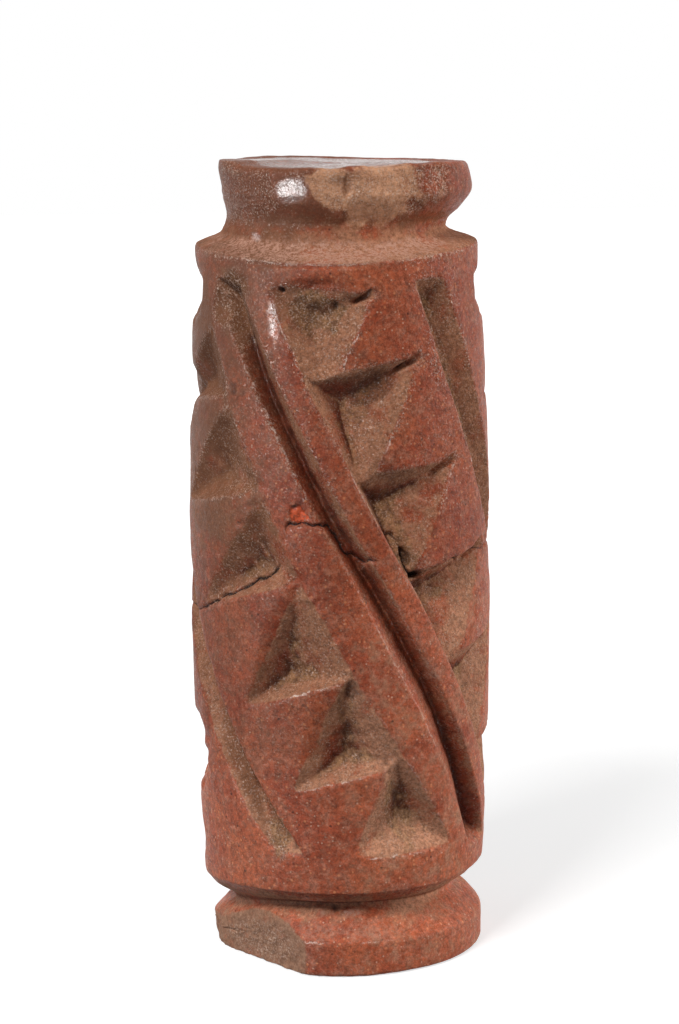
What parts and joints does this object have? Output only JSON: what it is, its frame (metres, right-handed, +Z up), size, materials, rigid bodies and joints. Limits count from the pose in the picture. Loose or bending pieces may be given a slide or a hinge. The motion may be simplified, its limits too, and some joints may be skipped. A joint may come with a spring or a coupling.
{
  "type": "roller stamp",
  "caption": "Fired clay roller stamp: a solid barrel carved with slanting ridges and pointed teeth, standing on a round foot, with a low knob on top",
  "frame": {"origin": "centre of the foot's underside, on the barrel's axis", "axes": "+Z runs up the barrel's axis from the foot to the knob; -Y faces the side that the picture shows; +X is to the right as seen from there"},
  "size_m": [0.0296, 0.0296, 0.078],
  "materials": {
    "fired_clay": "burnished red-brown fired clay with fine sand in it, worn at the edges, tan earth left in the carving"
  },
  "bodies": {
    "root": {"roller_stamp": "fired_clay"}
  },
  "joints": []
}
